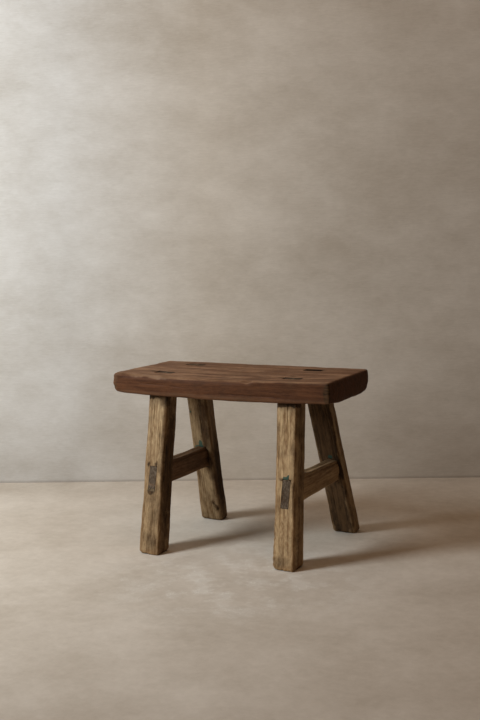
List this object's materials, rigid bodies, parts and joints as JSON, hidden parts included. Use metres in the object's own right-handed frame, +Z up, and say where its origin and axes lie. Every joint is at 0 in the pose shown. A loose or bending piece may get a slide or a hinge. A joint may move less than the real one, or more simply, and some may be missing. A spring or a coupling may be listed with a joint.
{
  "type": "milking stool",
  "caption": "Low rectangular plank stool on splayed square legs, wedged through the seat and tied in pairs by through-tenoned stretchers.",
  "frame": {"origin": "on the floor under the middle of the stool", "axes": "+X along the seat, the sitter faces -Y, +Z up"},
  "size_m": [0.404, 0.2875, 0.3],
  "materials": {
    "seat_wood": "worn satin, reddish-brown plank with lighter streaks",
    "leg_wood": "dry weathered long grain, tan to olive",
    "stretcher_wood": "dry dark brown long grain",
    "wedge_wood": "dark dry end grain"
  },
  "bodies": {
    "root": {"seat": "seat_wood", "leg_front_left": "leg_wood", "leg_front_right": "leg_wood", "leg_back_left": "leg_wood", "leg_back_right": "leg_wood", "stretcher_left": "stretcher_wood", "stretcher_right": "stretcher_wood", "seat_wedge_front_left": "wedge_wood", "seat_wedge_front_right": "wedge_wood", "seat_wedge_back_left": "wedge_wood", "seat_wedge_back_right": "wedge_wood", "stretcher_wedge_front_left": "wedge_wood", "stretcher_wedge_back_left": "wedge_wood"}
  },
  "joints": []
}
